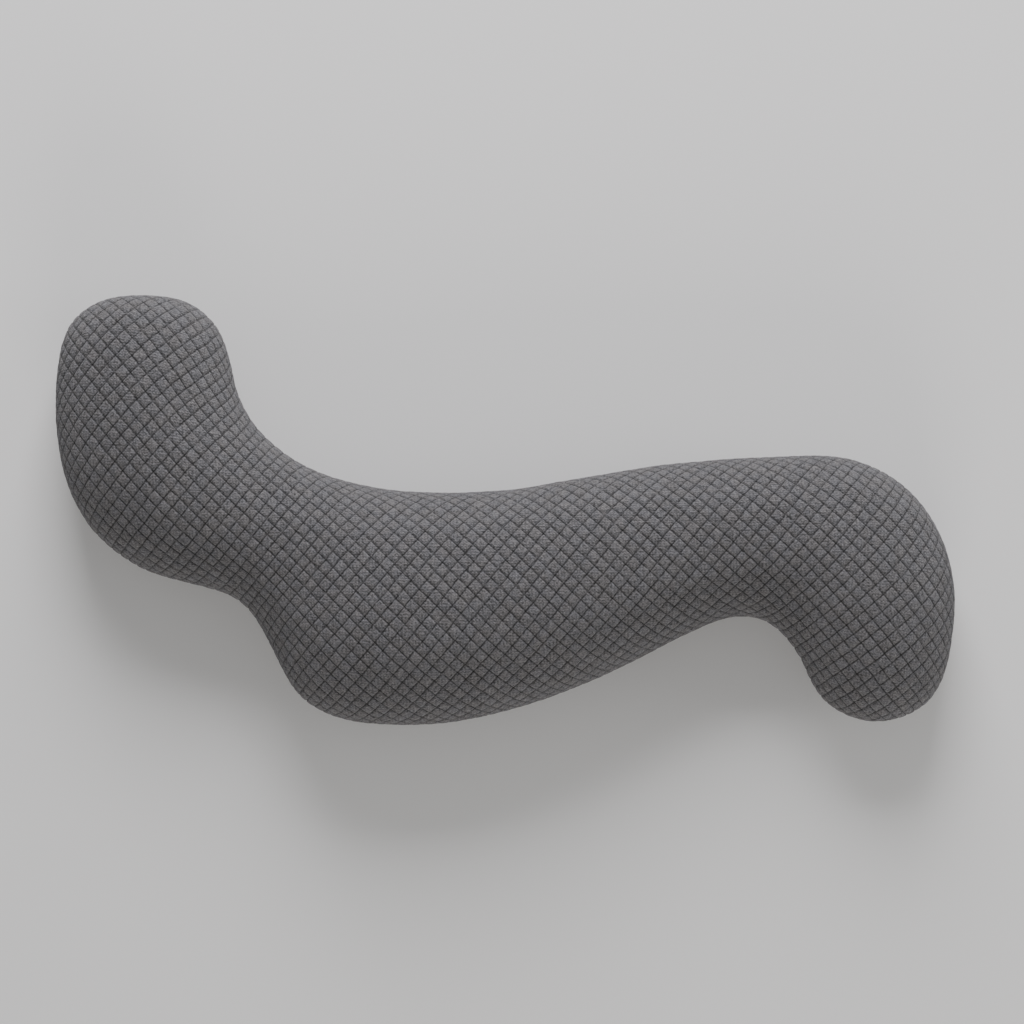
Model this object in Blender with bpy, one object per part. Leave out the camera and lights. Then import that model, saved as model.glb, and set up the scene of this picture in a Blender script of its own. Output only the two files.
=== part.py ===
"""An S-shaped body pillow of 1.3 m, lying on its back: one filled solid with a crowned face.

Metres, +Z up. X runs along the pillow from its head end to its leg end, and Y across it. The face
looks up, the back lies flat on z = 0, and the origin is the middle of the footprint's box.
"""
from collections import namedtuple

import bmesh
import bpy
import numpy as np
from mathutils import Vector

MM = 0.001

# Driving sizes
LENGTH = 1.300           # from the head end's side to the leg end's side, along X
FACE_FULLNESS = 2.0      # superellipse exponent of a section above its widest line: 2 is a true ellipse
BACK_FULLNESS = 2.6      # the same below it, fuller because the filling spreads where it lies
BACK_PRESSED = 0.003     # how far the floor presses into the back
RINGS_PER_SECTION = 3
RING_POINTS = 36

CLOTH_GREY = (0.105, 0.104, 0.107)
CLOTH_ROUGHNESS = 0.95

# One row for each section, in millimetres, from the tip of the head to the tip of the leg.
# near: the edge on the side of the upper hollow; far: the edge on the side of the lower lobes.
# crown: the face's height over the widest line; belly: the back's depth under it, before it is pressed.
# rise: the height of the widest line over the deepest back line.
Section = namedtuple("Section", "name near_x near_y far_x far_y crown belly rise")
SECTIONS = [Section(*row) for row in (
    ("head tip", -524, 311, -524, 311, 0, 0, 90),
    ("head end", -467, 304, -578, 306, 42, 36, 90),
    ("head shoulder", -427, 278, -626, 275, 78, 67, 90),
    ("head", -401, 220, -646, 214, 98, 84, 90),
    ("head widest", -382, 154, -649, 125, 106, 91, 92),
    ("head root", -343, 102, -626, 17, 108, 93, 93),
    ("neck", -274, 57, -528, -83, 103, 89, 89),
    ("neck run-out", -236, 44, -456, -105, 101, 87, 87),
    ("neck hollow", -200, 35, -389, -126, 102, 88, 88),
    ("lobe start", -138, 27, -339, -194, 108, 93, 94),
    ("lobe shoulder", -72, 27, -291, -274, 117, 101, 101),
    ("lobe", 9, 31, -193, -308, 122, 105, 105),
    ("lobe run-out", 105, 47, -37, -298, 120, 103, 103),
    ("waist start", 209, 64, 124, -246, 112, 96, 96),
    ("waist", 313, 74, 275, -172, 103, 89, 89),
    ("arch", 414, 80, 356, -152, 101, 87, 87),
    ("bend start", 508, 73, 400, -177, 105, 90, 90),
    ("bend", 592, 21, 427, -214, 107, 92, 91),
    ("leg", 645, -82, 441, -240, 103, 88, 88),
    ("leg shoulder", 645, -194, 460, -271, 84, 72, 84),
    ("leg end", 615, -274, 486, -294, 50, 43, 82),
    ("leg tip", 544, -306, 544, -306, 0, 0, 81),
)]


def outline_loop():
    """The table as one closed loop, along the near edge and back along the far one, in metres.

    Each point is x, y, crown, belly and rise. The crown and belly change sign with the side, so that
    they pass through nought smoothly and the tips come out round.
    """
    near, far = [], []
    for row in SECTIONS:
        near.append((row.near_x, row.near_y, row.crown, row.belly, row.rise))
        far.append((row.far_x, row.far_y, -row.crown, -row.belly, row.rise))
    return np.array(near + far[-2:0:-1]) * MM


def closed_spline(points, steps):
    """A smooth closed curve through the points, by distance along it, with even steps between each two."""
    following = np.roll(points, -1, axis=0)
    gap = np.hypot(*(following - points)[:, :2].T)
    gap_before = np.roll(gap, 1)
    slope = (following - points) / gap[:, None]
    system = np.diag(2.0 * (gap_before + gap))
    for i in range(len(points)):
        system[i, i - 1] += gap_before[i]
        system[i, (i + 1) % len(points)] += gap[i]
    bend = np.linalg.solve(system, 6.0 * (slope - np.roll(slope, 1, axis=0)))
    bend_following = np.roll(bend, -1, axis=0)
    curve = []
    for step in range(steps):
        t = step / steps
        s = 1.0 - t
        pull = (s**3 - s) * bend + (t**3 - t) * bend_following
        curve.append(s * points + t * following + pull * gap[:, None] ** 2 / 6.0)
    return np.stack(curve, axis=1).reshape(-1, points.shape[1])


def fine_rows():
    """The table read finely from tip to tip: near edge, far edge, crown, belly and rise of every ring."""
    curve = closed_spline(outline_loop(), RINGS_PER_SECTION)
    rows = []
    for ring in range((len(SECTIONS) - 1) * RINGS_PER_SECTION + 1):
        near, far = curve[ring], curve[-ring]
        crown, belly, rise = near[2:]
        rows.append((Vector((*near[:2], 0.0)), Vector((*far[:2], 0.0)), crown, belly, rise))
    return rows


def rounded(value, exponent):
    """A cosine or sine bent to a superellipse's."""
    return np.sign(value) * abs(value) ** (2.0 / exponent)


def section_point(row, angle):
    """The point of a section at an angle from its near edge, over the face and back under the belly."""
    near, far, crown, belly, rise = row
    across, up = np.cos(angle), np.sin(angle)
    fullness, height = (FACE_FULLNESS, crown) if up >= 0.0 else (BACK_FULLNESS, belly)
    point = (near + far) / 2.0 + (near - far) / 2.0 * rounded(across, fullness)
    point.z = rise - BACK_PRESSED + height * rounded(up, fullness)
    return point


def add_ring(bm, row):
    """One closed section of the pillow, as a loop of edges."""
    ring = bmesh.ops.create_circle(bm, segments=RING_POINTS, radius=1.0)["verts"]
    for place, vert in enumerate(ring):
        vert.co = section_point(row, 2.0 * np.pi * place / RING_POINTS)
    return [edge for edge in bm.edges if edge.verts[0] in ring and edge.verts[1] in ring]


def close_tip(bm, ring, tip):
    """A fan of faces from an end ring to the tip."""
    cap = bmesh.ops.edgeloop_fill(bm, edges=ring)["faces"]
    fan = bmesh.ops.poke(bm, faces=cap)
    fan["verts"][0].co = section_point(tip, 0.0)


def press_flat(bm):
    """The back is cut off at the floor and closed with one flat face."""
    geometry = bm.verts[:] + bm.edges[:] + bm.faces[:]
    cut = bmesh.ops.bisect_plane(
        bm, geom=geometry, dist=1e-6, plane_co=(0, 0, 0), plane_no=(0, 0, -1), clear_outer=True
    )
    rim = [item for item in cut["geom_cut"] if isinstance(item, bmesh.types.BMEdge)]
    bmesh.ops.edgeloop_fill(bm, edges=rim)


def size_and_centre(bm):
    """Scales the pillow to its length, and puts the middle of its footprint over the origin."""
    corners = np.array([vert.co for vert in bm.verts])
    low, high = corners.min(axis=0), corners.max(axis=0)
    middle = Vector(((low[0] + high[0]) / 2.0, (low[1] + high[1]) / 2.0, 0.0))
    bmesh.ops.translate(bm, verts=bm.verts, vec=-middle)
    bmesh.ops.scale(bm, verts=bm.verts, vec=Vector((1, 1, 1)) * LENGTH / (high[0] - low[0]))


def pillow_mesh():
    """The filled form: rings bridged from tip to tip, closed at both ends and flat underneath."""
    rows = fine_rows()
    bm = bmesh.new()
    rings = [add_ring(bm, row) for row in rows[1:-1]]
    for ring, following in zip(rings, rings[1:]):
        bmesh.ops.bridge_loops(bm, edges=ring + following)
    close_tip(bm, rings[0], rows[0])
    close_tip(bm, rings[-1], rows[-1])
    bmesh.ops.recalc_face_normals(bm, faces=bm.faces)
    press_flat(bm)
    size_and_centre(bm)
    bmesh.ops.recalc_face_normals(bm, faces=bm.faces)
    mesh = bpy.data.meshes.new("pillow")
    bm.to_mesh(mesh)
    bm.free()
    mesh.shade_smooth()
    return mesh


def cloth_material():
    """Matt grey stretch knit."""
    material = bpy.data.materials.new("grey_knit")
    material.use_nodes = True
    shader = material.node_tree.nodes["Principled BSDF"]
    shader.inputs["Base Color"].default_value = (*CLOTH_GREY, 1.0)
    shader.inputs["Roughness"].default_value = CLOTH_ROUGHNESS
    shader.inputs["Metallic"].default_value = 0.0
    return material


def main():
    for old in list(bpy.data.objects):
        bpy.data.objects.remove(old)
    collection = bpy.data.collections.new("body_pillow")
    bpy.context.scene.collection.children.link(collection)
    mesh = pillow_mesh()
    mesh.materials.append(cloth_material())
    collection.objects.link(bpy.data.objects.new("pillow", mesh))


main()
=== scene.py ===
"""A long S-shaped body pillow in a grey check knit, seen from straight above on a pale floor.

The pillow's filled form is a remeshed copy of the solid, swelled by its filling. It is cut along a
side seam into a front and a back panel, and both are laid flat. The knit's small square check is
drawn on the flat panels as a grid whose cells puff up between drawn-in lines, and the grid is put
back on the form, so that the check runs over the pillow as it does on a cover cut from flat cloth.
"""
from collections import namedtuple
from math import radians

import bmesh
import bpy
import numpy as np
from bpy.props import FloatProperty, FloatVectorProperty, IntProperty, PointerProperty
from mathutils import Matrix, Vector, noise
from mathutils.bvhtree import BVHTree
from mathutils.kdtree import KDTree


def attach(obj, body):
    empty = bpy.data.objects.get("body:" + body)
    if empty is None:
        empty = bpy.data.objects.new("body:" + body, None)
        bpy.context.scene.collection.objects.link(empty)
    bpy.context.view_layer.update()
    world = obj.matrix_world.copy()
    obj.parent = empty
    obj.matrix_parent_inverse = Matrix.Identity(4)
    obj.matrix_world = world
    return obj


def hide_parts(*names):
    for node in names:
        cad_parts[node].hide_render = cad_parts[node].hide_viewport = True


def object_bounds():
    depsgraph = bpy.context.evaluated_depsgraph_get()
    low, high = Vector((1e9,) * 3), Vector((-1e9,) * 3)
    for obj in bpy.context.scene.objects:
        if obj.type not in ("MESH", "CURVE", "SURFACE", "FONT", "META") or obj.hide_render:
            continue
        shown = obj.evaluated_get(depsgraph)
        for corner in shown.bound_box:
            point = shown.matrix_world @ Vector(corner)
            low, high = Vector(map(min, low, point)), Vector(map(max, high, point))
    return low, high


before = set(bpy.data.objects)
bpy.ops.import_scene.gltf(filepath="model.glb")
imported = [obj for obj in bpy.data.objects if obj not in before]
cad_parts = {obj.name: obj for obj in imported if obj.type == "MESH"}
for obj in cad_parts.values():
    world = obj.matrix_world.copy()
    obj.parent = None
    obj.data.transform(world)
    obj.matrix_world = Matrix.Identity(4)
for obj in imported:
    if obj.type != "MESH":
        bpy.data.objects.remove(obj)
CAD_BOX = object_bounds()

bl_info = {
    "name": "Check knit body pillow",
    "version": (1, 0, 0),
    "blender": (4, 5, 0),
    "location": "3D View > Sidebar > Pillow",
    "description": "Makes a long S-shaped body pillow in a grey check knit, and its studio stage",
    "category": "Add Mesh",
}

MM = 0.001
NODE = "pillow"
WELD = 1e-5              # points closer than this are one point
UP = Vector((0, 0, 1))
SEAM_STEP = 3.2 * MM     # distance between the points of the seam
SEAM_MARGIN = 2.2 * MM   # the check's grid ends this far from the seam
STRAYS = 45.0            # how often the check's lines stray to and fro in a metre
PUCKERS = 90.0           # how often the seam puckers in a metre
CELL_EDGE = 0.09         # how round a cell's edge is, as a share of the pitch
ROUNDING = 0.75          # how far flat triangles are rounded for the points on them, from 0 to 1
FIT_ROUNDS = 1500        # most rounds of the fit that lays a panel flat
FIT_END = 1e-16          # squared error of a point, in square metres, at which the fit is done

# Where the pillow lies in the square image, in pixels
IMAGE_SIDE = 1024
PILLOW_LENGTH_PX = 900.0
PILLOW_MIDDLE_PX = (505.5, 510.5)

# Where the cover is cut with more or less of a bend than the pillow lies in: a place in metres, how far
# round it that reaches, and the turn of the cloth in degrees
Turn = namedtuple("Turn", "name x y reach degrees")
TURNS = [Turn(*row) for row in (
    ("head", -0.43, 0.20, 0.10, 14.0),
    ("neck", -0.31, 0.06, 0.11, -5.0),
    ("bend", 0.48, 0.02, 0.11, -8.0),
    ("leg", 0.55, -0.20, 0.16, 10.0),
)]


class PillowFilling(bpy.types.PropertyGroup):
    """How the pillow is stuffed."""
    grain: FloatProperty(
        name="Grain", default=0.008, unit="LENGTH",
        description="Size of the even squares that the form is made of while it is filled",
    )
    slack: FloatProperty(
        name="Slack", default=0.005, unit="LENGTH",
        description="How far inside its full form the cover starts",
    )
    pressure: FloatProperty(
        name="Pressure", default=4.0, description="Push of the filling on the cover",
    )
    swell_frames: IntProperty(
        name="Swell frames", default=20, description="Frames that the filling takes",
    )
    give: FloatProperty(
        name="Give", default=0.0012, unit="LENGTH",
        description="How far a point of the filled cover may lie from the form",
    )
    lumps: FloatProperty(
        name="Lumps", default=0.0012, unit="LENGTH",
        description="Height of the soft lumps in the fibre filling",
    )
    lump_size: FloatProperty(
        name="Lump size", default=0.07, unit="LENGTH", description="Distance between the lumps",
    )


class PillowCover(bpy.types.PropertyGroup):
    """The knitted cover, its check and its seam."""
    rising_pitch: FloatProperty(
        name="Rising pitch", default=0.0163, unit="LENGTH",
        description="Distance between the check's lines that are crossed on the way up and to the right",
    )
    falling_pitch: FloatProperty(
        name="Falling pitch", default=0.0161, unit="LENGTH",
        description="Distance between the check's lines that are crossed on the way up and to the left",
    )
    rising_angle: FloatProperty(
        name="Rising angle", default=radians(45.3), subtype="ANGLE",
        description="Direction across the first set of lines, from the pillow's length",
    )
    falling_angle: FloatProperty(
        name="Falling angle", default=radians(139.5), subtype="ANGLE",
        description="Direction across the second set of lines, from the pillow's length",
    )
    puff: FloatProperty(
        name="Puff", default=0.0015, unit="LENGTH",
        description="How far a cell of the check stands out over its lines",
    )
    shoulder: FloatProperty(
        name="Shoulder", default=0.15, min=0.02, max=0.3,
        description="Where a cell's rounded edge ends, as a share of the pitch",
    )
    wander: FloatProperty(
        name="Wander", default=0.0010, unit="LENGTH",
        description="How far the check's lines stray from straight ones",
    )
    seam_tilt: FloatProperty(
        name="Seam tilt", default=-0.28, min=-0.9, max=0.9,
        description="Slope of the surface where the side seam runs: 0 is the widest line, -1 the back",
    )
    seam_pull: FloatProperty(
        name="Seam pull", default=0.0032, unit="LENGTH", description="How far the seam is drawn in",
    )
    seam_reach: FloatProperty(
        name="Seam reach", default=0.007, unit="LENGTH",
        description="How far from the seam the cloth is drawn in with it",
    )


class PillowYarn(bpy.types.PropertyGroup):
    """Colours and stitch sizes of the melange yarn."""
    cool_grey: FloatVectorProperty(
        name="Cool grey", default=(0.140, 0.139, 0.148), subtype="COLOR", size=3,
        description="Colour of the yarn's cooler stretches",
    )
    warm_grey: FloatVectorProperty(
        name="Warm grey", default=(0.145, 0.140, 0.143), subtype="COLOR", size=3,
        description="Colour of the yarn's warmer stretches",
    )
    # The lines' darkness is partly the yarn's own colour and partly painted shade in the grooves.
    line_shade: FloatProperty(
        name="Line shade", default=0.76, min=0.0, max=1.0,
        description="How much darker the check's lines are than its cells",
    )
    stitch_width: FloatProperty(
        name="Stitch width", default=0.0046, unit="LENGTH", description="Width of one knitted stitch",
    )
    stitch_height: FloatProperty(
        name="Stitch height", default=0.0038, unit="LENGTH", description="Height of one knitted stitch",
    )
    sheen: FloatProperty(
        name="Sheen", default=0.12, min=0.0, max=1.0, description="Strength of the yarn's soft fuzz",
    )


class PillowStage(bpy.types.PropertyGroup):
    """The floor, lights and camera."""
    floor_grey: FloatProperty(
        name="Floor grey", default=0.92, min=0.0, max=1.0, description="Paleness of the floor",
    )
    dome: FloatProperty(
        name="Dome", default=0.25, description="Strength of the even light from all round",
    )
    key_power: FloatProperty(
        name="Key light", default=280.0, unit="POWER",
        description="Power of the large light over the top",
    )
    side_power: FloatProperty(
        name="Side lights", default=32.0, unit="POWER",
        description="Power of the low light at the right, which the one in front goes by",
    )
    camera_height: FloatProperty(
        name="Camera height", default=6.0, unit="LENGTH",
        description="Height of the camera over the floor",
    )


def add_object(name, bm):
    """The bmesh as a new object in the scene. The bmesh is freed."""
    mesh = bpy.data.meshes.new(name)
    bm.to_mesh(mesh)
    bm.free()
    made = bpy.data.objects.new(name, mesh)
    bpy.context.scene.collection.objects.link(made)
    return made


def choose(*chosen):
    """Selects only these objects, with the first one active."""
    for other in bpy.context.selected_objects:
        other.select_set(False)
    for one in chosen:
        one.select_set(True)
    bpy.context.view_layer.objects.active = chosen[0]


def discard(*spent):
    """Removes helper objects and their meshes."""
    for one in spent:
        mesh = one.data
        bpy.data.objects.remove(one)
        bpy.data.meshes.remove(mesh)


def read(items, field, width):
    """One field of a mesh's items as an array with a row for each item."""
    values = np.zeros(len(items) * width)
    items.foreach_get(field, values)
    return values.reshape(-1, width)


def iron(form, passes, growth):
    """Smooths the form, and moves its surface out by what the smoothing takes off."""
    bm = bmesh.new()
    bm.from_mesh(form.data)
    for _ in range(passes):
        bmesh.ops.smooth_vert(
            bm, verts=bm.verts, factor=0.5, use_axis_x=True, use_axis_y=True, use_axis_z=True
        )
    bm.normal_update()
    for vert in bm.verts:
        vert.co += vert.normal * growth
        vert.co.z = max(vert.co.z, 0.0)
    bm.to_mesh(form.data)
    bm.free()


def swell(form, filling):
    """Blows the slack cover up with its filling until it is as full as the form was."""
    mesh = form.data
    full, outward = read(mesh.vertices, "co", 3), read(mesh.vertices, "normal", 3)
    mesh.vertices.foreach_set("co", (full - outward * filling.slack).ravel())
    mesh.update()
    cloth = form.modifiers.new("filling", "CLOTH")
    cloth.settings.quality = 3
    cloth.settings.mass = 0.3
    cloth.settings.bending_stiffness = 2.0
    cloth.settings.use_pressure = True
    cloth.settings.uniform_pressure_force = filling.pressure
    cloth.settings.effector_weights.gravity = 0.0
    cloth.point_cache.frame_end = filling.swell_frames
    for tick in range(1, filling.swell_frames + 1):
        bpy.context.scene.frame_set(tick)
    swelled = form.evaluated_get(bpy.context.evaluated_depsgraph_get())
    move = read(swelled.data.vertices, "co", 3) - full
    out = (move * outward).sum(axis=1, keepdims=True)
    aside = move - out * outward
    distance = np.linalg.norm(aside, axis=1, keepdims=True)
    aside *= np.minimum(1.0, filling.give / np.maximum(distance, 1e-9))
    form.modifiers.remove(cloth)
    bpy.context.scene.frame_set(1)
    filled = full + aside + np.clip(out, -filling.give, filling.give) * outward
    mesh.vertices.foreach_set("co", filled.ravel())
    mesh.update()


def filled_form(filling):
    """The pillow's smooth closed form, filled and flat where it lies on the floor."""
    bm = bmesh.new()
    bm.from_mesh(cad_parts[NODE].data)
    bmesh.ops.remove_doubles(bm, verts=bm.verts, dist=WELD)
    form = add_object("filled form", bm)
    even = form.modifiers.new("even squares", "REMESH")
    even.mode = "VOXEL"
    even.voxel_size = filling.grain
    choose(form)
    bpy.ops.object.modifier_apply(modifier=even.name)
    iron(form, passes=12, growth=1.6 * MM)
    swell(form, filling)
    iron(form, passes=5, growth=1.5 * MM)
    return form


def cut_panels(form, tilt):
    """The form cut along its side seam, as a front panel and a back panel.

    The seam runs where the surface has the given tilt, so for the cut each point's height is its tilt.
    """
    bm = bmesh.new()
    bm.from_mesh(form.data)
    bm.normal_update()
    height = bm.verts.layers.float.new("height")
    for vert in bm.verts:
        vert[height] = vert.co.z
        vert.co.z = vert.normal.z - tilt
    bmesh.ops.bisect_plane(
        bm, geom=bm.verts[:] + bm.edges[:] + bm.faces[:], dist=0.01, plane_co=(0, 0, 0), plane_no=UP
    )
    facing = [face.calc_center_median().z > 0 for face in bm.faces]
    for vert in bm.verts:
        vert.co.z = vert[height]
    panels = []
    for side in (True, False):
        panel = bm.copy()
        other = [face for face, faces_up in zip(panel.faces, facing) if faces_up != side]
        bmesh.ops.delete(panel, geom=other, context="FACES")
        panels.append(add_object("front panel" if side else "back panel", panel))
    bm.free()
    return panels


def settle(starts, ends, steps, places):
    """Moves points about until the step from each start to its end is as near as can be to its own.

    It is a least squares fit, made by conjugate gradients.
    """
    count = len(places)

    def pull(values):
        return np.stack([
            np.bincount(ends, column, count) - np.bincount(starts, column, count)
            for column in values.T
        ], axis=1)

    left = pull(steps - (places[ends] - places[starts]))
    way, size = left.copy(), (left ** 2).sum()
    for _ in range(FIT_ROUNDS):
        along = pull(way[ends] - way[starts])
        share = size / (way * along).sum()
        places = places + share * way
        left = left - share * along
        before, size = size, (left ** 2).sum()
        if size < FIT_END * count:
            break
        way = left + way * (size / before)
    return places


class FlatPanel:
    """A panel of the cover as it lies on the form, and the same cloth laid flat."""

    def __init__(self, panel):
        mesh = panel.data
        mesh.calc_loop_triangles()
        self.places = read(mesh.vertices, "co", 3)
        self.normals = read(mesh.vertices, "normal", 3)
        self.corners = read(mesh.loop_triangles, "vertices", 3).astype(int)
        self.flat = self.lay_flat(read(mesh.loop_triangles, "normal", 3))
        cloth = np.column_stack([self.flat, np.zeros(len(self.flat))])
        self.tree = BVHTree.FromPolygons(cloth.tolist(), self.corners.tolist())

    def lay_flat(self, facing):
        """Every small piece of the cloth is tipped level without being turned, and they are joined up."""
        facing = facing * np.sign(facing[:, 2].sum())
        axis = np.cross(facing, UP)
        middle = self.places[self.corners].mean(axis=1)
        turn = sum(
            radians(spot.degrees) * np.exp(
                -((middle[:, 0] - spot.x) ** 2 + (middle[:, 1] - spot.y) ** 2) / spot.reach ** 2
            ) for spot in TURNS
        )
        starts, ends, steps = [], [], []
        for k in range(3):
            start, end = self.corners[:, k], self.corners[:, k - 1]
            step = self.places[end] - self.places[start]
            turned = np.cross(axis, step)
            step = step + turned + np.cross(axis, turned) / (1.0 + facing[:, 2:])
            starts.append(start)
            ends.append(end)
            steps.append(np.stack([
                step[:, 0] * np.cos(turn) - step[:, 1] * np.sin(turn),
                step[:, 0] * np.sin(turn) + step[:, 1] * np.cos(turn),
            ], axis=1))
        return settle(*(np.concatenate(rows) for rows in (starts, ends, steps)), self.places[:, :2])

    def put_on(self, points):
        """Where flat points lie on the form: which of them are on the panel, places and normals."""
        on_panel = np.zeros(len(points), bool)
        triangle = np.zeros(len(points), int)
        for i, (x, y) in enumerate(points):
            _, _, hit, _ = self.tree.ray_cast(Vector((x, y, 1.0)), -UP)
            if hit is not None:
                on_panel[i] = True
                triangle[i] = hit
        corners = self.corners[triangle]
        a, b, c = (self.flat[corners[:, k]] for k in range(3))
        ab, ac, ap = b - a, c - a, points - a
        whole = ab[:, 0] * ac[:, 1] - ab[:, 1] * ac[:, 0]
        to_b = (ap[:, 0] * ac[:, 1] - ap[:, 1] * ac[:, 0]) / whole
        to_c = (ab[:, 0] * ap[:, 1] - ab[:, 1] * ap[:, 0]) / whole
        weights = np.stack([1.0 - to_b - to_c, to_b, to_c], axis=1)[:, :, None]
        near, normals = self.places[corners], self.normals[corners]
        places, facing = (near * weights).sum(axis=1), (normals * weights).sum(axis=1)
        facing /= np.linalg.norm(facing, axis=1, keepdims=True)
        # The flat triangles are rounded towards the tangent planes of their corners.
        rise = ((places[:, None, :] - near) * normals).sum(axis=2, keepdims=True)
        rounded = ((places[:, None, :] - rise * normals) * weights).sum(axis=1)
        return on_panel, places * (1.0 - ROUNDING) + rounded * ROUNDING, facing


def walk_rim(panel):
    """The vertices of a panel's rim, in order."""
    bm = bmesh.new()
    bm.from_mesh(panel.data)
    following = [edge for edge in bm.edges if edge.is_boundary]
    start = vert = following[0].verts[0]
    used, rim = set(), []
    while True:
        rim.append(vert.index)
        edge = next(e for e in vert.link_edges if e.is_boundary and e not in used)
        used.add(edge)
        vert = edge.other_vert(vert)
        if vert == start:
            break
    if len(used) != len(following):
        raise RuntimeError("the seam isn't one closed line")
    bm.free()
    return rim


def even_seam(front, back, rim, spacing):
    """The seam in even steps: places, normals, and where it lies on each flat panel."""
    tree = KDTree(len(back.places))
    for i, place in enumerate(back.places):
        tree.insert(place, i)
    tree.balance()
    back_rim = [tree.find(front.places[i])[1] for i in rim]
    normals = front.normals[rim] + back.normals[back_rim]
    rows = np.column_stack([front.places[rim], normals, front.flat[rim], back.flat[back_rim]])
    closed = np.vstack([rows, rows[:1]])
    gaps = np.linalg.norm(np.diff(closed[:, :3], axis=0), axis=1)
    along = np.concatenate([[0.0], np.cumsum(gaps)])
    steps = np.linspace(0.0, along[-1], int(along[-1] / spacing), endpoint=False)
    even = np.column_stack([np.interp(steps, along, column) for column in closed.T])
    return even[:, :3], even[:, 3:6], even[:, 6:8], even[:, 8:10]


def check_matrix(cover):
    """Takes a place on the flat cloth, in metres, to its count of rising and falling lines."""
    return np.array([
        [np.cos(cover.rising_angle), np.sin(cover.rising_angle)],
        [np.cos(cover.falling_angle), np.sin(cover.falling_angle)],
    ]) / np.array([[cover.rising_pitch], [cover.falling_pitch]])


def tidy_border(bm):
    """Takes faces off the grid until its border is made of simple loops."""
    while True:
        pinched = [v for v in bm.verts if sum(e.is_boundary for e in v.link_edges) > 2]
        spurs = [f for f in bm.faces if sum(e.is_boundary for e in f.edges) > 2]
        faces = dict.fromkeys([face for vert in pinched for face in vert.link_faces] + spurs)
        if not faces:
            return
        bmesh.ops.delete(bm, geom=list(faces), context="FACES")


def check_grid(panel, to_check, steps, cover, seam_flat):
    """The check's grid on one flat panel, cut to the panel with a narrow margin, as a bmesh.

    Each vertex carries its count of lines, and its place and normal on the form.
    """
    counts = panel.flat @ to_check.T
    low, high = np.floor(counts.min(axis=0)), np.ceil(counts.max(axis=0))
    rising, falling = (
        (np.arange(low[k], high[k])[:, None] + np.array(steps)).ravel() for k in range(2)
    )
    bm = bmesh.new()
    layers = bm.verts.layers.float_vector
    count_layer, place_layer, normal_layer = (layers.new(name) for name in ("count", "place", "normal"))
    bmesh.ops.create_grid(bm, x_segments=len(rising) - 1, y_segments=len(falling) - 1, size=1.0)
    spots = np.array([vert.co for vert in bm.verts])
    column = np.rint((spots[:, 0] + 1.0) / 2.0 * (len(rising) - 1)).astype(int)
    row = np.rint((spots[:, 1] + 1.0) / 2.0 * (len(falling) - 1)).astype(int)
    counted = np.column_stack([rising[column], falling[row]])
    flat = counted @ np.linalg.inv(to_check).T
    flat += [
        [cover.wander * noise.noise(Vector((x, y, depth)) * STRAYS) for depth in (0.01, 0.35)]
        for x, y in flat
    ]
    on_panel, places, normals = panel.put_on(flat)
    rim = KDTree(len(seam_flat))
    for i, (x, y) in enumerate(seam_flat):
        rim.insert((x, y, 0.0), i)
    rim.balance()
    outside = []
    for i, vert in enumerate(bm.verts):
        vert.co = (*flat[i], 0.0)
        vert[count_layer] = (*counted[i], 0.0)
        vert[place_layer] = places[i]
        vert[normal_layer] = normals[i]
        if not on_panel[i] or rim.find(vert.co)[2] < SEAM_MARGIN:
            outside.append(vert)
    bmesh.ops.delete(bm, geom=outside, context="VERTS")
    tidy_border(bm)
    loose = [vert for vert in bm.verts if not vert.link_faces]
    bmesh.ops.delete(bm, geom=loose, context="VERTS")
    return bm


def in_order(ring):
    """The vertices of a closed line of edges in the order they are joined."""
    ordered, last = [ring[0]], None
    while len(ordered) < len(ring):
        here = ordered[-1]
        joined = [edge.other_vert(here) for edge in here.link_edges]
        ordered.append(next(vert for vert in joined if vert != last))
        last = here
    return ordered


def sew_rim(bm, to_check, seam_flat, seam_places, seam_normals):
    """Adds the seam round the grid, and fills the strip between them."""
    layers = bm.verts.layers.float_vector
    border = [edge for edge in bm.edges if edge.is_boundary]
    ring = in_order(bmesh.ops.create_circle(bm, segments=len(seam_flat), radius=1.0)["verts"])
    counts = seam_flat @ to_check.T
    for i, vert in enumerate(ring):
        vert.co = (*seam_flat[i], 0.0)
        vert[layers["count"]] = (*counts[i], 0.0)
        vert[layers["place"]] = seam_places[i]
        vert[layers["normal"]] = seam_normals[i]
    seam_edges = list(dict.fromkeys(edge for vert in ring for edge in vert.link_edges))
    bmesh.ops.triangle_fill(
        bm, edges=border + seam_edges, use_beauty=True, use_dissolve=False, normal=UP
    )


def across_cell(count):
    """A cell's rounded profile: 0 on a line of the check, and nearly 1 in the middle."""
    from_line = 0.5 - abs(count % 1.0 - 0.5)
    return 1.0 - np.exp(-from_line / CELL_EDGE)


def raise_check(bm, cover, filling, seam):
    """Moves every vertex to its place on the form: cells puff up, and the seam is drawn in."""
    layers = bm.verts.layers.float_vector
    # The nearness to the seam is kept as a mask for painted shade in the seam's crease.
    painted_seam_shade = bm.verts.layers.float.new("painted_seam_shade")
    for vert in bm.verts:
        rising, falling, _ = vert[layers["count"]]
        place, normal = vert[layers["place"]], vert[layers["normal"]]
        near_seam = np.exp(-(seam.find(place)[2] / cover.seam_reach) ** 2)
        own_puff = 1.0 + 0.3 * (noise.cell(Vector((rising // 1, falling // 1, 0.5))) - 0.5)
        sunk = cover.puff * own_puff * (1.0 - across_cell(rising) * across_cell(falling))
        lump = filling.lumps * (noise.noise(place / filling.lump_size) - 0.5)
        pull = cover.seam_pull * (1.0 + 0.35 * noise.noise(place * PUCKERS))
        vert.co = place + normal * (lump - sunk * (1.0 - near_seam) - pull * near_seam)
        vert.co.z = max(vert.co.z, 0.0)
        vert[painted_seam_shade] = near_seam


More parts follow.
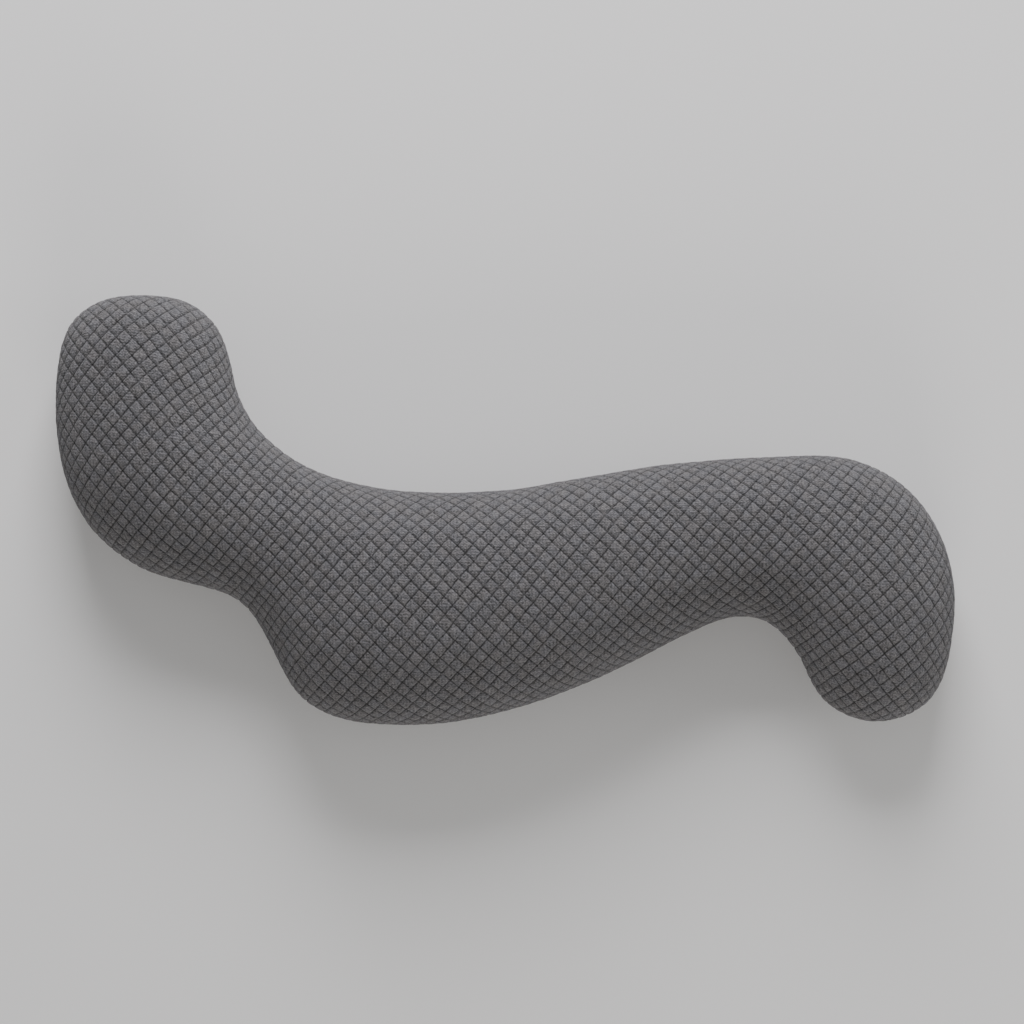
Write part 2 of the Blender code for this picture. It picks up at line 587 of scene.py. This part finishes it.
def lay_check_uv(bm):
    """Writes each corner's count of lines as its place on the check map."""
    check = bm.loops.layers.uv.new("check")
    count_layer = bm.verts.layers.float_vector["count"]
    for face in bm.faces:
        for loop in face.loops:
            loop[check].uv = loop.vert[count_layer][:2]


def knit_panel(name, panel, steps, seam_flat, seam, context):
    """One panel of the cover with its check raised, as an object."""
    cover, filling = context.scene.pillow_cover, context.scene.pillow_filling
    to_check = check_matrix(cover)
    bm = check_grid(panel, to_check, steps, cover, seam_flat)
    sew_rim(bm, to_check, seam_flat, seam.places, seam.normals)
    raise_check(bm, cover, filling, seam)
    lay_check_uv(bm)
    layers = bm.verts.layers.float_vector
    for spent in ("count", "place", "normal"):
        layers.remove(layers[spent])
    return add_object(name, bm)


class Seam:
    """The side seam on the form, and the distance from it."""

    def __init__(self, places, normals):
        self.places = places
        self.normals = normals / np.linalg.norm(normals, axis=1, keepdims=True)
        self.tree = KDTree(len(places))
        for i, place in enumerate(places):
            self.tree.insert(place, i)
        self.tree.balance()

    def find(self, place):
        """The nearest point of the seam, its number and its distance."""
        return self.tree.find(place)


def sew_together(front, back):
    """Joins the two panels along the seam into one closed cover."""
    choose(front, back)
    bpy.ops.object.join()
    bm = bmesh.new()
    bm.from_mesh(front.data)
    rim = [vert for vert in bm.verts if vert.is_boundary]
    bmesh.ops.remove_doubles(bm, verts=rim, dist=WELD)
    bmesh.ops.recalc_face_normals(bm, faces=bm.faces)
    if any(len(edge.link_faces) != 2 for edge in bm.edges):
        raise RuntimeError("the cover isn't closed along its seam")
    for face in bm.faces:
        face.smooth = True
    bm.to_mesh(front.data)
    bm.free()
    return front


class Value:
    """A socket of a material's nodes, on which arithmetic adds Math nodes."""

    def __init__(self, finish, socket):
        self.finish = finish
        self.socket = socket

    def math(self, operation, *values):
        return self.finish.node("ShaderNodeMath", {"operation": operation}, dict(enumerate(values)))

    def __add__(self, other):
        return self.math("ADD", self, other)

    def __sub__(self, other):
        return self.math("SUBTRACT", self, other)

    def __rsub__(self, other):
        return self.math("SUBTRACT", other, self)

    def __mul__(self, other):
        return self.math("MULTIPLY", self, other)

    def __truediv__(self, other):
        return self.math("DIVIDE", self, other)

    def __abs__(self):
        return self.math("ABSOLUTE", self)

    __radd__ = __add__
    __rmul__ = __mul__

    def part(self):
        """What is left of it over a whole number."""
        return self.math("FRACT", self)

    def whole(self):
        return self.math("FLOOR", self)

    def larger(self, other):
        return self.math("MAXIMUM", self, other)

    def smaller(self, other):
        return self.math("MINIMUM", self, other)

    def wave(self):
        return self.math("SINE", self)

    def step(self, low, high):
        """0 below the low value and 1 over the high one, with a soft step between them."""
        return self.finish.node(
            "ShaderNodeMapRange", {"interpolation_type": "SMOOTHSTEP"},
            {"Value": self, "From Min": low, "From Max": high},
        )


class Finish:
    """A material and the one way its nodes are added."""

    def __init__(self, name):
        self.material = bpy.data.materials.new(name)
        self.material.use_nodes = True
        self.tree = self.material.node_tree
        self.shader = self.tree.nodes["Principled BSDF"]

    def node(self, kind, settings=None, inputs=None, output=0):
        """Adds a node, sets it up, and gives one of its outputs."""
        made = self.tree.nodes.new(kind)
        for name, value in (settings or {}).items():
            setattr(made, name, value)
        self.fill(made, inputs or {})
        return Value(self, made.outputs[output])

    def fill(self, node, inputs):
        """Gives a node's sockets their values or links."""
        for key, value in inputs.items():
            if isinstance(value, Value):
                self.tree.links.new(value.socket, node.inputs[key])
            else:
                node.inputs[key].default_value = value

    def noise(self, place, scale, detail=2.0, roughness=0.5):
        """Soft noise about nought, with the given number of lumps to a metre."""
        speckle = self.node(
            "ShaderNodeTexNoise", {"noise_dimensions": "3D"},
            {"Vector": place, "Scale": scale, "Detail": detail, "Roughness": roughness},
        )
        return speckle - 0.5

    def blend(self, share, first, second):
        """A colour between two colours."""
        return self.node(
            "ShaderNodeMix", {"data_type": "RGBA"}, {"Factor": share, 6: first, 7: second}, output=2
        )

    def shaded(self, colour, shade):
        """A colour made darker or lighter by a value."""
        grey = self.node("ShaderNodeCombineColor", None, {0: shade, 1: shade, 2: shade})
        return self.node(
            "ShaderNodeMix", {"data_type": "RGBA", "blend_type": "MULTIPLY"},
            {"Factor": 1.0, 6: colour, 7: grey}, output=2,
        )


def near_line(count, pitch):
    """Distance from the nearest line of the check, in millimetres."""
    return (0.5 - abs(count.part() - 0.5)) * (pitch / MM)


def stitches(finish, rising, falling, cover, yarn):
    """Height of the knit's rows of small V stitches, from 0 to 1."""
    to_cloth = np.linalg.inv(check_matrix(cover))
    wale = (rising * float(to_cloth[0, 0]) + falling * float(to_cloth[0, 1])) / yarn.stitch_width
    course = (rising * float(to_cloth[1, 0]) + falling * float(to_cloth[1, 1])) / yarn.stitch_height
    from_middle = abs(wale.part() - 0.5) * 2.0
    along = (course + from_middle * 0.5).part()
    return (along * np.pi).wave() * (1.0 - from_middle * 0.6)


def knit_finish(cover, yarn):
    """Grey melange knit with a check of drawn-in lines, darkened partly as the yarn's own colour and
    partly as painted shade in their grooves, and with painted shade in the seam's crease.
    """
    finish = Finish("grey_knit")
    check = finish.node("ShaderNodeUVMap", {"uv_map": "check"})
    rising = finish.node("ShaderNodeSeparateXYZ", None, {0: check}, output=0)
    falling = finish.node("ShaderNodeSeparateXYZ", None, {0: check}, output=1)
    place = finish.node("ShaderNodeTexCoord", output=3)

    # The check's lines are ragged and broken here and there. They are darkened partly as the yarn's own
    # colour and partly as painted shade in their grooves, and the painted shade is deepest where two of
    # them cross.
    ragged = finish.noise(place, 620.0) * 1.4
    from_rising = near_line(rising, cover.rising_pitch) + ragged
    from_falling = near_line(falling, cover.falling_pitch) + ragged
    rising_line, falling_line = 1.0 - from_rising.step(0.1, 1.8), 1.0 - from_falling.step(0.1, 1.8)
    broken = (finish.noise(place, 150.0) * 3.0 + 0.75).step(0.0, 1.0)
    line = rising_line.larger(falling_line) * (0.35 + broken * 0.65)
    crossing_shade = rising_line * falling_line
    crown = from_rising.smaller(from_falling).step(1.1, 3.0)

    # The cells show rows of stitches in a mottled yarn with stray fibres.
    mottle = finish.noise(place, 330.0, roughness=0.65)
    fibre = finish.noise(place, 1100.0)
    uneven = finish.noise(place, 240.0) * 0.12
    stitch = stitches(finish, rising + uneven, falling - uneven, cover, yarn)
    cell = finish.node("ShaderNodeCombineXYZ", None, {0: rising.whole(), 1: falling.whole()})
    own_tone = finish.node("ShaderNodeTexWhiteNoise", {"noise_dimensions": "2D"}, {"Vector": cell})
    # Painted shade: the crease along the seam is made darker by the nearness to the seam.
    painted_seam_shade = finish.node("ShaderNodeAttribute", {"attribute_name": "painted_seam_shade"}, output=2)

    tone = 1.04 + mottle * 2.6 + fibre * 1.0 + (stitch - 0.45) * 0.5 + (own_tone - 0.5) * 0.12
    # The lines and their crossings are darkened as darker yarn and painted shade in their grooves, and
    # the seam's crease is darkened as painted shade.
    shade = tone * (1.0 - line * yarn.line_shade - crossing_shade * 0.18) * (1.0 - painted_seam_shade * 0.35)
    warmth = (finish.noise(place, 60.0) * 3.0 + 0.5).step(0.0, 1.0)
    yarn_colour = finish.blend(warmth, (*yarn.cool_grey, 1.0), (*yarn.warm_grey, 1.0))
    height = stitch * 0.8 + mottle * 3.0 + fibre * 0.3 + crown * 1.0 - line * 0.3
    bump = finish.node("ShaderNodeBump", None, {"Height": height, "Distance": MM, "Strength": 1.0})
    finish.fill(finish.shader, {
        "Base Color": finish.shaded(yarn_colour, shade),
        "Normal": bump,
        "Roughness": 0.92,
        "Metallic": 0.0,
        "Specular IOR Level": 0.2,
        "Sheen Weight": yarn.sheen,
        "Sheen Roughness": 0.55,
    })
    return finish.material


class PILLOW_OT_body(bpy.types.Operator):
    """Fill the S-shaped form and put its check knit cover on it"""
    bl_idname = "pillow.body"
    bl_label = "Make the pillow"
    bl_options = {"REGISTER", "UNDO"}

    def execute(self, context):
        scene = context.scene
        form = filled_form(scene.pillow_filling)
        front_panel, back_panel = cut_panels(form, scene.pillow_cover.seam_tilt)
        front, back = FlatPanel(front_panel), FlatPanel(back_panel)
        rim = walk_rim(front_panel)
        places, normals, front_flat, back_flat = even_seam(front, back, rim, SEAM_STEP)
        seam = Seam(places, normals)
        # Where the grid's lines stand across one cell: fine on the face, plainer on the back
        shoulder = scene.pillow_cover.shoulder
        fine = (0.0, shoulder, 0.38, 0.62, 1.0 - shoulder)
        plain = (0.0, shoulder, 0.5, 1.0 - shoulder)
        pillow = sew_together(
            knit_panel("check_knit_pillow", front, fine, front_flat, seam, context),
            knit_panel("back", back, plain, back_flat, seam, context),
        )
        discard(form, front_panel, back_panel)
        pillow.data.materials.append(knit_finish(scene.pillow_cover, scene.pillow_yarn))
        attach(pillow, "root")
        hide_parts(NODE)
        return {"FINISHED"}


def plain_finish(name, grey):
    """A matt plain surface."""
    finish = Finish(name)
    finish.fill(finish.shader, {"Base Color": (grey, grey, grey, 1.0), "Roughness": 0.9})
    return finish.material


def add_light(name, place, target, size, power, colour):
    """A square soft light that points at the target."""
    lamp = bpy.data.lights.new(name, "AREA")
    lamp.size = size
    lamp.energy = power
    lamp.color = colour
    light = bpy.data.objects.new(name, lamp)
    light.location = place
    light.rotation_euler = (Vector(target) - Vector(place)).to_track_quat("-Z", "Y").to_euler()
    bpy.context.scene.collection.objects.link(light)


def add_camera(low, high, stage):
    """The camera straight over the pillow, framed as in the image.

    The pillow's length in the image is that of its widest line, at 0.4 of its height.
    """
    length = high[0] - low[0]
    metres_per_px = length / PILLOW_LENGTH_PX
    middle = (low + high) / 2.0
    lens = bpy.data.cameras.new("camera")
    lens.sensor_width = 36.0
    widest_line = low[2] + (high[2] - low[2]) * 0.4
    reach = stage.camera_height - widest_line
    lens.lens = lens.sensor_width * reach / (IMAGE_SIDE * metres_per_px)
    camera = bpy.data.objects.new("camera", lens)
    right = (IMAGE_SIDE / 2.0 - PILLOW_MIDDLE_PX[0]) * metres_per_px
    up = (PILLOW_MIDDLE_PX[1] - IMAGE_SIDE / 2.0) * metres_per_px
    camera.location = (middle.x + right, middle.y + up, stage.camera_height)
    bpy.context.scene.collection.objects.link(camera)
    bpy.context.scene.camera = camera


class PILLOW_OT_stage(bpy.types.Operator):
    """Add the pale floor, the studio lights and the camera"""
    bl_idname = "pillow.stage"
    bl_label = "Make the stage"
    bl_options = {"REGISTER", "UNDO"}

    def execute(self, context):
        stage = context.scene.pillow_stage
        bm = bmesh.new()
        bmesh.ops.create_grid(bm, x_segments=1, y_segments=1, size=12.0)
        floor = add_object("floor", bm)
        floor.data.materials.append(plain_finish("pale_floor", stage.floor_grey))
        world = bpy.data.worlds.new("studio")
        world.use_nodes = True
        world.node_tree.nodes["Background"].inputs["Color"].default_value = (1.0, 1.0, 1.0, 1.0)
        world.node_tree.nodes["Background"].inputs["Strength"].default_value = stage.dome
        context.scene.world = world
        low, high = CAD_BOX
        middle = (low + high) / 2.0
        add_light("key", (-0.1, 4.2, 2.5), middle, 2.7, stage.key_power, (1.0, 0.985, 1.0))
        add_light("right", (4.2, 0.0, 1.2), middle, 1.8, stage.side_power, (1.0, 1.0, 1.0))
        bounce_power = stage.side_power * 2.8
        add_light("bounce", (0.4, -4.4, 1.7), middle, 2.2, bounce_power, (1.0, 0.96, 0.91))
        add_camera(low, high, stage)
        return {"FINISHED"}


class PILLOW_PT_sidebar(bpy.types.Panel):
    """Lists the pillow's settings and what can be made from them"""
    bl_idname = "PILLOW_PT_sidebar"
    bl_label = "Body pillow"
    bl_space_type = "VIEW_3D"
    bl_region_type = "UI"
    bl_category = "Pillow"

    def draw(self, context):
        for group in GROUPS:
            box = self.layout.box()
            settings = getattr(context.scene, group)
            for name in settings.bl_rna.properties.keys():
                if name not in ("rna_type", "name"):
                    box.prop(settings, name)
        self.layout.operator(PILLOW_OT_body.bl_idname)
        self.layout.operator(PILLOW_OT_stage.bl_idname)


GROUPS = {
    "pillow_filling": PillowFilling,
    "pillow_cover": PillowCover,
    "pillow_yarn": PillowYarn,
    "pillow_stage": PillowStage,
}
CLASSES = (*GROUPS.values(), PILLOW_OT_body, PILLOW_OT_stage, PILLOW_PT_sidebar)


def register():
    for one in CLASSES:
        bpy.utils.register_class(one)
    for name, group in GROUPS.items():
        setattr(bpy.types.Scene, name, PointerProperty(type=group))


def unregister():
    for name in GROUPS:
        delattr(bpy.types.Scene, name)
    for one in reversed(CLASSES):
        bpy.utils.unregister_class(one)


def main():
    register()
    bpy.ops.pillow.body()
    bpy.ops.pillow.stage()


if __name__ == "__main__":
    main()
